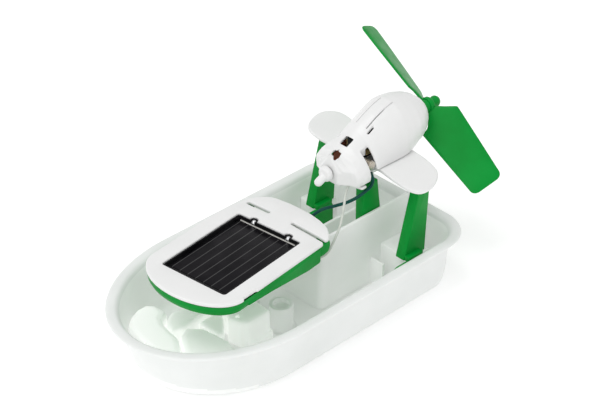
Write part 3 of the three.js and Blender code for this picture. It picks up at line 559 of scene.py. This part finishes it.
# ---------------------------------------------------------------- wires
TEAL_ROUTE = [
    (42.4, -10.4, 51.5), (42.6, -10.9, 49.9), (42.7, -11.2, 48.3), (42.0, -11.4, 46.7), (40.3, -11.5, 45.7),
    (38.4, -11.3, 45.0), (36.6, -10.8, 44.1), (35.0, -10.0, 43.1), (33.5, -8.8, 42.0), (32.1, -7.2, 40.8),
    (30.9, -5.3, 39.7), (29.7, -3.4, 38.6), (28.4, -1.6, 37.7), (27.0, -0.1, 36.9), (25.2, 1.2, 35.7),
    (23.4, 2.2, 34.2), (21.6, 2.8, 32.6), (19.7, 3.1, 31.4), (17.5, 3.2, 31.0),
]
WHITE_ROUTE = [
    (36.2, -6.4, 51.2), (35.6, -6.4, 50.4), (35.1, -6.5, 49.4), (34.5, -6.6, 48.3), (33.7, -6.8, 47.3),
    (32.7, -7.1, 46.4), (31.6, -7.7, 45.5), (30.4, -8.5, 44.4), (29.0, -9.6, 43.1), (27.3, -10.8, 41.6),
    (25.2, -12.2, 39.6), (22.8, -13.4, 37.0), (20.1, -14.1, 34.3), (17.5, -14.6, 31.7), (14.8, -15.0, 29.9),
    (12.2, -14.4, 28.9), (10.6, -12.6, 28.7), (10.2, -9.8, 28.7), (10.7, -6.8, 28.8), (11.6, -4.4, 28.9),
    (12.6, -2.6, 28.9),
]


WIRE_SIDES = 16


def wire(name, route, diameter, material, node):
    """A soft wire as one smooth tube with closed ends."""
    points = [Vector(p) for p in smooth_rows(route, 6)]
    turns = [2 * math.pi * k / WIRE_SIDES for k in range(WIRE_SIDES)]
    rings = []
    side = Vector((0, 0, 1))
    for i, point in enumerate(points):
        along = (points[min(i + 1, len(points) - 1)] - points[max(i - 1, 0)]).normalized()
        side = (side - along * side.dot(along)).normalized()
        other = along.cross(side)
        rings.append([point + (side * math.cos(t) + other * math.sin(t)) * diameter / 2 for t in turns])
    made = new_piece(name, placed(loft(rings)), material, "hull", (node,), 60)


wire("teal_wire_sleeve", TEAL_ROUTE, 1.3, teal_sleeve, "teal_wire")
wire("white_wire_sleeve", WHITE_ROUTE, 1.0, white_sleeve, "white_wire")

# ---------------------------------------------------------------- hull
HALF_WIDTH, HULL_HEIGHT = hull_high.y, 25.5
BOW_LENGTH, STERN_RADIUS, FLOOR = 52.5, 16.0, 1.5
WELL_NEAR, WELL_FAR, WELL_FRONT, WELL_STERN = -12.0, 12.0, 14.0, 68.0
WELL_WALL, WELL_TOP, WELL_LOW_TOP = 1.3, hull_high.z, 18.5
BLOCK_FRONT, BLOCK_REAR, BLOCK_TOP = 47.4, 58.8, 17
ROOT = FLOOR - 0.3                                      # where what stands on the floor begins
BOSS_PLACES = ((-3.3, -8.4), (-3.3, 12.4))


def hull_ring(z, inset, rake):
    """The hull's plan at one height: a half-ellipse bow, straight sides and a rounded stern."""
    width = HALF_WIDTH - inset
    start = hull_low.x + BOW_LENGTH
    reach = start - (hull_low.x + inset + rake)
    stern = hull_high.x - inset
    r = max(STERN_RADIUS - inset, 2)
    plan = [(start + reach * math.cos(t), width * math.sin(t)) for t in
            (math.pi / 2 + math.pi * i / 72 for i in range(73))]
    sides = 12
    plan += [(start + (stern - r - start) * i / sides, -width) for i in range(1, sides)]
    plan += arc(stern - r, -width + r, r, -90, 0, 16)
    plan += [(stern, -(width - r) + 2 * (width - r) * i / sides) for i in range(1, sides)]
    plan += arc(stern - r, width - r, r, 0, 90, 16)
    plan += [(stern - r + (start - stern + r) * i / sides, width) for i in range(1, sides)]
    return [(x, y, z) for x, y in plan]


def hull_tub():
    """The tub as one skin: up its outside, over the lip and down its inside. Rows are z, inset and rake."""
    h = HULL_HEIGHT
    outside = smooth_rows([
        (0, 11.0, 5.0), (0.7, 8.6, 4.6), (2.4, 6.9, 4.1), (5.0, 6.0, 3.4), (8.0, 5.5, 2.7), (12, 5.2, 2.0),
        (16, 4.9, 1.3), (h - 5.5, 4.55, 0.7), (h - 3.2, 4.2, 0.2), (h - 1.9, 3.5, 0)], 3)
    lip = smooth_rows([
        (h - 1.45, 2.6, 0), (h - 1.3, 1.2, 0), (h - 1.2, 0.45, 0), (h - 0.9, 0.08, 0), (h - 0.6, 0.0, 0),
        (h - 0.3, 0.1, 0), (h - 0.08, 0.5, 0), (h, 1.2, 0), (h, 2.8, 0), (h - 0.12, 3.7, 0),
        (h - 0.6, 4.5, 0)], 2)
    inside = smooth_rows([
        (h - 1.6, 5.15, 0.1), (h - 3.6, 5.7, 0.4), (16, 6.3, 1.3), (12, 6.6, 2.0), (8.0, 6.9, 2.7),
        (5.0, 7.5, 3.4), (3.4, 8.5, 3.9), (2.3, 10.0, 4.5), (1.7, 11.8, 5.0), (FLOOR, 14.5, 5.4)], 3)
    return loft([hull_ring(*row) for row in outside + lip + inside])


def wall_along(path, low, high, thickness):
    """A thin wall that follows a plan path, with a rounded top edge and a small fillet at its foot."""
    half = thickness / 2
    edge, root = 0.4, 0.9
    profile = [(-half - root, low), (-half - root * 0.3, low + root * 0.35), (-half, low + root)]
    profile += [(-half + edge - edge * math.cos(t), high - edge + edge * math.sin(t)) for t in
                (math.pi / 2 * i / 4 for i in range(5))]
    profile += [(-x, z) for x, z in reversed(profile)]
    rings = []
    for i, point in enumerate(path):
        here = Vector(point)
        along = (Vector(path[min(i + 1, len(path) - 1)]) - Vector(path[max(i - 1, 0)])).normalized()
        out = Vector((along.y, -along.x))
        rings.append([(*(here + out * x), z) for x, z in profile])
    return loft(rings)


def well_walls():
    """The well's tall wall round its near side and front, and the low one along its far side."""
    half = WELL_WALL / 2
    near, far, front = WELL_NEAR + half, WELL_FAR - half, WELL_FRONT + half
    r = 2.0
    tall = [(WELL_STERN - i * 2.0, near) for i in range(26)]
    tall += arc(front + r, near + r, r, 270, 180, 8)
    tall += [(front, near + r + (far - near - 2 * r) * i / 8) for i in range(1, 8)]
    tall += arc(front + r, far - r, r, 180, 90, 8)
    tall += [(front + r + i * 1.2, far) for i in range(1, 5)]
    low = [(front + r + 4.2 + i * 2.2, far) for i in range(22)]
    return merged(wall_along(tall, FLOOR - 0.2, WELL_TOP, WELL_WALL),
                  wall_along(low, FLOOR - 0.2, WELL_LOW_TOP, WELL_WALL))


def floor_boss(x, y):
    """A hollow upright boss with a rounded rim and a fillet at its foot."""
    outer, inner, top, depth = 4.75, 3.3, 12.0, 2.2
    profile = [(outer + 1.2, FLOOR - 0.1), (outer + 0.4, FLOOR + 0.4), (outer, FLOOR + 1.3),
               (outer, top - 0.4), (outer - 0.12, top - 0.12), (outer - 0.4, top), (inner + 0.3, top),
               (inner + 0.05, top - 0.1), (inner, top - 0.4), (inner, top - depth + 0.3),
               (inner - 0.3, top - depth), (0, top - depth)]
    return turned(profile, 40, Matrix.Translation((x, y, 0)))


def on_outside(centre, normal):
    """Whether a face of the hull belongs to its outer skin, its bottom or its lip."""
    bow_start = hull_low.x + BOW_LENGTH
    bow_square = ((centre.x - bow_start) / BOW_LENGTH) ** 2 + (centre.y / HALF_WIDTH) ** 2
    near_edge = (centre.x < bow_start and bow_square > 0.7) or abs(centre.y) > 31 or centre.x > 62
    faces_out = normal.x * (centre.x if abs(centre.x) > 55 else 0) + normal.y * centre.y > 0
    return centre.z < 1.0 or (near_edge and (centre.z > HULL_HEIGHT - 1.5 or faces_out))


def make_hull():
    """The hull in two materials: its outside with the lip, and its inside with all that stands in it, which
    carries a painted glow.
    """
    def block(x0, x1, y0, y1, low, high, corner, edge):
        return plate(rounded(box_outline(x0, x1, y0, y1), corner), low, high, edge)

    against_well = WELL_NEAR + 0.6
    whole = merged(
        hull_tub(), well_walls(),
        block(BLOCK_FRONT, BLOCK_REAR, -27.4, against_well, ROOT, BLOCK_TOP, 0.9, 0.45),    # near leg's block
        block(BLOCK_FRONT, BLOCK_REAR, 23.4, 34.3, 9.0, BLOCK_TOP, 0.9, 0.45),              # far leg's block
        block(BLOCK_FRONT, BLOCK_REAR, 23.4, 31.6, ROOT, 12, 0.9, 0.45),                    # and its foot
        block(41.6, 42.9, -18.6, against_well, ROOT, 12.8, 0.3, 0.35),                      # rib
        *(floor_boss(x, y) for x, y in BOSS_PLACES))
    made = new_piece("hull_moulding", placed(whole), hull_plastic, "hull", ("hull",), 42)
    # the inside faces take the copy of the hull plastic with the painted glow
    made.data.materials.append(hull_inside_painted_glow)
    for polygon in made.data.polygons:
        polygon.material_index = 0 if on_outside(polygon.center / MM, polygon.normal) else 1


make_hull()

# ---------------------------------------------------------------- white moulded pieces under the panel
for stand in ("stand_crossbar", "stand_arm", "stand_middle", "stand_wedge", "stand_rear"):
    softened_node(stand, 0.3, 5, loose_white_painted_glow)

# ---------------------------------------------------------------- legs
FOOT_FRONT, FOOT_REAR, TOP_FRONT, TOP_REAR, FOOT_Z = 44.6, 56.5, 53.3, 58.1, 17.3
LEG_THICKNESS, MID_LEG_TOP_REAR = 4.7, 46.7


def side_leg(name):
    """A tapered leg with rounded edges, a foot plate beside its block and a bridge between them."""
    low, high = node_box(name)
    body_y0 = high.y - LEG_THICKNESS
    tapered = [(FOOT_FRONT, FOOT_Z), (FOOT_REAR, FOOT_Z), (TOP_REAR, high.z, 1.6), (TOP_FRONT, high.z)]
    body = plate_across_y(rounded(tapered, 0.5), body_y0, high.y, 0.5)
    foot_rear = FOOT_REAR - 3
    foot = plate_across_y(rounded([(low.x, low.z), (foot_rear, low.z), (foot_rear, FOOT_Z + 0.4),
                                   (low.x, FOOT_Z + 0.4, 2.4)], 1.2), low.y, low.y + 1.8, 0.4)
    bridge_outline = box_outline(FOOT_FRONT + 0.6, FOOT_REAR - 3.2, FOOT_Z, FOOT_Z + 2.2)
    bridge = plate_across_y(rounded(bridge_outline, 0.4), low.y + 0.4, body_y0 + 1.2, 0.35)
    whole = placed(merged(body, foot, bridge))
    new_piece(name + "_moulding", whole, green_plastic, "hull", (name,), 40)


def middle_leg():
    """The post that stands in the well beside its near wall, narrower towards its top."""
    low, high = node_box("mid_leg")
    outline = [(low.x, low.z), (high.x, low.z), (MID_LEG_TOP_REAR, high.z), (low.x, high.z)]
    post = plate_across_y(rounded(outline, 0.5), low.y, high.y, 0.5)
    new_piece("mid_leg_moulding", placed(post), green_plastic, "hull", ("mid_leg",), 40)


side_leg("near_leg")
side_leg("far_leg")
middle_leg()

# ---------------------------------------------------------------- motor pod
# the cover's height beside its crown: places along X, each with its z, and a height clear of it all
CROWN = [(46.6, 66.0), (52, 68.9), (57, 70.9), (61, 71.8)]
ABOVE_POD = 75


def crown_groove(x0, x1, y0, y1, depth):
    """A cutter that follows the crown between two places along it and goes in by a depth."""
    def height(x):
        for (xa, za), (xb, zb) in zip(CROWN, CROWN[1:]):
            if x <= xb:
                return za + (zb - za) * (x - xa) / (xb - xa)
        return CROWN[-1][1]
    along = [x0 + (x1 - x0) * i / 6 for i in range(7)]
    outline = [(x, height(x) - depth) for x in along] + [(x1, ABOVE_POD), (x0, ABOVE_POD)]
    return plate_across_y(outline, y0, y1, 0.04)


def make_pod_cover():
    """The CAD cover with moulded edges. Its narrow grooves are cut last, as softening would close them."""
    grooves = [crown_groove(47.2, 60.6, 2.3, 2.9, 0.75), crown_groove(47, 57, -3.2, -2.75, 4),
               crown_groove(56.5, 61.5, -3.3, -2.7, 0.6), crown_groove(46.8, 49.6, -4.75, -4.2, 4)]
    cover = carved(softened(cad_copy("pod_cover"), 0.26, 6), grooves)
    new_piece("pod_cover_skin", placed(cover), white_plastic, "hull", ("pod_cover",), 50)


def make_pod_tray():
    """The CAD tray without the nose plate's corners, which would show behind the cowl's cheeks."""
    corners = [plate(box_outline(38.5, 49, y0, y1), 46, 48.6, 0.05) for y0, y1 in ((-13, -6.5), (6.5, 13))]
    tray = softened(carved(cad_copy("pod_tray"), corners), 0.3, 5)
    new_piece("pod_tray_skin", placed(tray), white_plastic, "hull", ("pod_tray",), 60)


make_pod_cover()
make_pod_tray()
softened_node("nose_peg", 0.2, 5, white_plastic)

# ---------------------------------------------------------------- propeller
BLADE_AZIMUTH, BLADE_REACH, BLADE_THICKNESS = math.radians(33.6), 40.4, 1.4
# distance from the shaft, and the chord's reach ahead of and behind the blade's own axis
BLADE_ROOT = [(1.6, 1.5, 1.5), (3, 3.5, 2.2), (4.7, 5.6, 3.0), (6.4, 7.9, 4.2), (7.4, 9.2, 5.1),
              (8, 9.5, 6.6), (8.6, 9.5, 8.2)]
BLADE_TIP = [(38.9, 7.1, 6.5), (39.6, 6.6, 6.0), (40.1, 5.9, 5.3), (BLADE_REACH, 4.9, 4.3)]
SPAN_START, SPAN_END, SPAN_STEPS = 8.9, 38.2, 12
BLADE_SIDES = 24
HUB_BASE, HUB_NOSE, BALL_RADIUS = 81.9, 88.8, 2.4


def blade_pitch(r):
    """The blade's angle at a distance from the shaft: it twists a little towards the tip."""
    return math.radians(46.1 + 0.313 * r)


def blade_span(i):
    """One section of the straight-edged stretch between the root and the tip."""
    r = SPAN_START + (SPAN_END - SPAN_START) * i / SPAN_STEPS
    return r, 10.15 - 0.0742 * r, 8.79 - 0.05515 * r


def blade_mesh():
    """One blade along Z: a lens-shaped section at each distance from the shaft."""
    stations = smooth_rows(BLADE_ROOT, 3) + [blade_span(i) for i in range(SPAN_STEPS + 1)] + BLADE_TIP
    rings = []
    for r, ahead, behind in stations:
        pitch = blade_pitch(r)
        middle, half = (ahead - behind) / 2, (ahead + behind) / 2
        thick = BLADE_THICKNESS / 2 * min(1.0, 0.5 + 0.5 * (BLADE_REACH - r) / 2.5)
        ring = []
        for k in range(BLADE_SIDES):
            t = 2 * math.pi * k / BLADE_SIDES
            flat = math.copysign(abs(math.cos(t)) ** 0.8, math.cos(t))
            rise = math.copysign(abs(math.sin(t)) ** 0.55, math.sin(t))
            chord = middle + half * flat
            ring.append((chord * math.sin(pitch) + thick * rise * math.cos(pitch),
                         chord * math.cos(pitch) - thick * rise * math.sin(pitch), r))
        rings.append(ring)
    return loft(rings)


def make_propeller():
    """The hub with its ball nose, its collar and two blades half a turn apart."""
    lower = Matrix.Rotation(math.pi / 2 + BLADE_AZIMUTH, 4, "X")
    blades = []
    for half_turn in (0, math.pi):
        mesh = blade_mesh()
        mesh.transform(Matrix.Translation((SPIN_X, 0, AXIS_Z)) @ Matrix.Rotation(half_turn, 4, "X") @ lower)
        blades.append(mesh)
    profile = [(1.3, 88.0), (1.3, HUB_BASE), (2.3, HUB_BASE), (2.6, HUB_BASE + 0.3), (2.7, 83.4), (2.6, 84.6),
               (2.2, 86), (2.05, HUB_NOSE - 1.4), (2.15, HUB_NOSE - 0.9)]
    profile += arc(0, HUB_NOSE, BALL_RADIUS, 0, 90, 8)
    hub = about_shaft(profile, 40)
    collar = about_shaft([(0, 84.0), (3.0, 84.0), (3.3, 84.4), (3.3, 85.6), (3.0, 86.0), (0, 86.0)], 40)
    whole = placed(merged(hub, collar, *blades))
    new_piece("propeller_moulding", whole, green_plastic, "rotor", ("propeller",), 44)


make_propeller()

# ---------------------------------------------------------------- CAD shapes that stay, with their finishes
FINISHES = (
    (steel, ("motor_can", "motor_shaft", "armature_core", "hinge_pin", "panel_screw_far",
             "panel_screw_near")),
    (brass, ("motor_bush", "motor_terminal_near", "motor_terminal_far")),
    (spring_nickel, ("contact_spring",)),
    (old_copper, ("nose_contact",)),
    (copper, ("motor_brush_near", "motor_brush_far", "armature_winding_front", "armature_winding_rear",
              "commutator")),
    (ferrite, ("motor_magnet_near", "motor_magnet_far")),
    (black_plastic, ("motor_end_bell",)),
    (white_plastic, ("panel_clip", "panel_yoke")),
)
for material, nodes in FINISHES:
    for node in nodes:
        slots = frame["nodes"][node].material_slots
        for material_slot in slots:
            material_slot.material = material
        if not slots:
            frame["nodes"][node].data.materials.append(material)

# ---------------------------------------------------------------- solar panel unit
PANEL_TOP = frame_high.z
FRAME_THICKNESS = 1.6
FRAME_BOTTOM = PANEL_TOP - FRAME_THICKNESS
HALF_PANEL, BOW_U, BOW_CURVE, STERN_U, STERN_CORNER = 22.3, -33.4, 14.0, 25.2, 3.2
NOTCH_PLACES, NOTCH_RADIUS, BEAD_SHIFT, SKIRT_STERN = (-9, 8), 1.8, 1.3, 23.5
SHELL_TOP, SHELL_STEP, SHELL_BOTTOM = shell_high.z, 33.4, shell_low.z


def panel_outline(inset, stern):
    """Plan of the unit: a half-ellipse bow, straight sides and a square stern with rounded corners."""
    w, start = HALF_PANEL - inset, BOW_U + BOW_CURVE
    points = arc(start, 0, BOW_CURVE - inset, 90, 270, 48, w)
    r = STERN_CORNER - inset * 0.5
    points += arc(stern - inset - r, -w + r, r, -90, 0, 8)
    points += arc(stern - inset - r, w - r, r, 0, 90, 8)
    return points


def window_outline(inset, corner=1.2):
    """The window, drawn in by a distance, with a round notch for each solder bead in its stern edge."""
    bow, stern, side, r = WINDOW_BOW + inset, WINDOW_STERN - inset, WINDOW_V - inset, NOTCH_RADIUS - inset
    points = [(bow, -side, corner), (stern, -side, corner)]
    for v in NOTCH_PLACES:
        points += [(stern, v - r), *arc(WINDOW_STERN + 0.1, v, r, -90, 90, 12), (stern, v + r)]
    return rounded(points + [(stern, side, corner), (bow, side, corner)], 0)


def make_panel_frame():
    """The white top with its visor, and a skirt round the window that reaches down to the cell."""
    w = HALF_PANEL
    outline = arc(BOW_U + BOW_CURVE, 0, BOW_CURVE, 90, 270, 48, w)
    # the near edge with its finger notch, the slot that is open at the near edge, and the visor
    outline += [(-18.9, 0.8 - w, 0.8), (-12.4, 0.6 - w, 0.8), (-11.4, -w, 0.4), (26.2, -w, 1.3),
                (27.9, -4.6, 0.4), (29.3, -4.4, 0.4), (27.9, -21.6, 0.9), (29.4, -22.0, 1.5),
                (31.8, -20.4, 4), (34.9, -16.9, 6), (36.9, -11.7, 8), (38.2, -5.8, 8), (38.5, -0.6, 8),
                (38.6, 4.5, 8), (38.1, 10.6, 8), (37, 14.2, 6), (33.5, 17.5, 6), (30.2, 19.2, 6),
                (23.6, 20.8, 8), (16, 22, 10), (8, w, 8)]
    slot = rounded(box_outline(28.0, 29.6, 6.4, 17.6), 0.7)
    window = window_outline(0)
    top = plate(rounded(outline, 0), FRAME_BOTTOM, PANEL_TOP, 0.5, (window, slot))
    rim = rounded(box_outline(WINDOW_BOW - 1, SKIRT_STERN, -WINDOW_V - 1, WINDOW_V + 1), 1.6)
    skirt = plate(rim, frame_low.z, FRAME_BOTTOM + 0.4, 0.1, (window,))
    new_piece("panel_frame_moulding", placed(merged(top, skirt), PANEL), white_plastic, "panel",
              ("panel_frame",), 38)


def make_panel_shell():
    """The green tray, the wedge under it with a flank on either side, and two hinge knuckles."""
    stern = STERN_U + 0.6
    outside = smooth_rows([
        (SHELL_TOP, 0.6), (SHELL_TOP - 0.15, 0.45), (SHELL_TOP - 2.2, 0.5), (SHELL_TOP - 2.45, 0.85),
        (SHELL_TOP - 2.8, 0.9), (SHELL_STEP + 0.8, 1.1), (SHELL_STEP + 0.3, 1.4), (SHELL_STEP, 2.2)], 3)
    inner = [(SHELL_STEP + 1.2, 3.0), (SHELL_STEP + 1.6, 2.2), (SHELL_TOP - 0.1, 1.8), (SHELL_TOP, 1.65)]
    rings = [[(u, v, z) for u, v in panel_outline(inset, stern)] for z, inset in outside + inner]
    tray = loft(rings, capped=False)
    floor = plate(panel_outline(2.0, stern), SHELL_STEP + 0.05, SHELL_STEP + 1.25, 0.1)
    side = HALF_PANEL - 0.4
    wedge_foot = [(-3, SHELL_STEP), (8.2, 32.1), (17.5, SHELL_BOTTOM), (stern - 0.4, SHELL_BOTTOM)]
    wedge = plate_across_y([(-3, SHELL_STEP + 0.8), *wedge_foot, (stern - 0.4, SHELL_STEP + 0.8)],
                           -side + 0.6, side - 0.6, 0.12)
    flank = rounded([(-16, SHELL_TOP - 0.6), (-16, SHELL_STEP + 1), *wedge_foot[:3],
                     (stern - 1, SHELL_BOTTOM, 1), (stern - 1, SHELL_TOP - 0.6, 1)], 0)
    flanks = [plate_across_y(flank, v, v + 1.2, 0.15) for v in (-side, side - 1.2)]
    knuckle = rounded([(STERN_U - 1, HINGE_Z + 2.5), (STERN_U - 1, HINGE_Z - 2.2),
                       (HINGE_U - 1.5, HINGE_Z - 2.6), (HINGE_U + 1.4, HINGE_Z - 2.3),
                       (HINGE_U + 2.65, HINGE_Z), (HINGE_U + 2.5, HINGE_Z + 2.6)], 1.4)
    knuckles = [plate_across_y(knuckle, v0, v1, 0.5) for v0, v1 in ((-21.2, -16.2), (16.2, 21.2))]
    whole = placed(merged(tray, floor, wedge, *flanks, *knuckles), PANEL)
    new_piece("panel_shell_moulding", whole, green_plastic, "panel", ("panel_shell",), 40)


def make_cell():
    """The black board with its raised rim, the cell's face on it, and the pale strip that joins the lines."""
    low, high = node_box("solar_cell")
    face = rounded(box_outline(WINDOW_BOW + 3.2, WINDOW_STERN - 1.5, -WINDOW_V + 1.4, WINDOW_V - 1.4), 0.6)
    rim = window_outline(0.3)
    board = plate(rim, low.z, high.z - 0.25, 0.35)
    inside = window_outline(0.75, 0.9)
    lining = plate(rim, high.z - 0.5, PANEL_TOP - 0.45, 0.12, (inside,))
    new_piece("cell_board", placed(merged(board, lining), PANEL), cell_rim, "panel", ("solar_cell",),
              40)
    window = plate(face, high.z - 0.6, high.z, 0.2)
    new_piece("cell_face", placed(window, PANEL), cell_face, "panel", (), 40)
    bar_outline = box_outline(WINDOW_STERN - 1.3, WINDOW_STERN - 0.6, -WINDOW_V + 1.6, WINDOW_V - 1.6)
    bar = plate(rounded(bar_outline, 0.2), high.z - 0.1, high.z + 0.12, 0.06)
    new_piece("cell_busbar", placed(bar, PANEL), cream_tape, "panel", (), 40)


def solder_blob(name, node):
    """A domed bead of solder that lies in its notch of the window."""
    low, high = node_box(node)
    centre = (low + high) / 2
    radius, height = (high.x - low.x) / 2, high.z - low.z
    profile = [(radius, low.z), (radius * 0.97, low.z + height * 0.3), (radius * 0.75, low.z + height * 0.68),
               (radius * 0.42, low.z + height * 0.92), (0, low.z + height)]
    into_notch = Vector((math.cos(YAW), math.sin(YAW))) * BEAD_SHIFT
    place = Matrix.Translation((centre.x + into_notch.x, centre.y + into_notch.y, 0))
    blob = turned([(0, low.z), *profile], 28, place)
    new_piece(name, placed(blob), solder, "panel", (node,), 50)


make_panel_frame()
make_panel_shell()
make_cell()
solder_blob("solder_bead_far", "solder_terminal_far")
solder_blob("solder_bead_near", "solder_terminal_near")

make_stage()
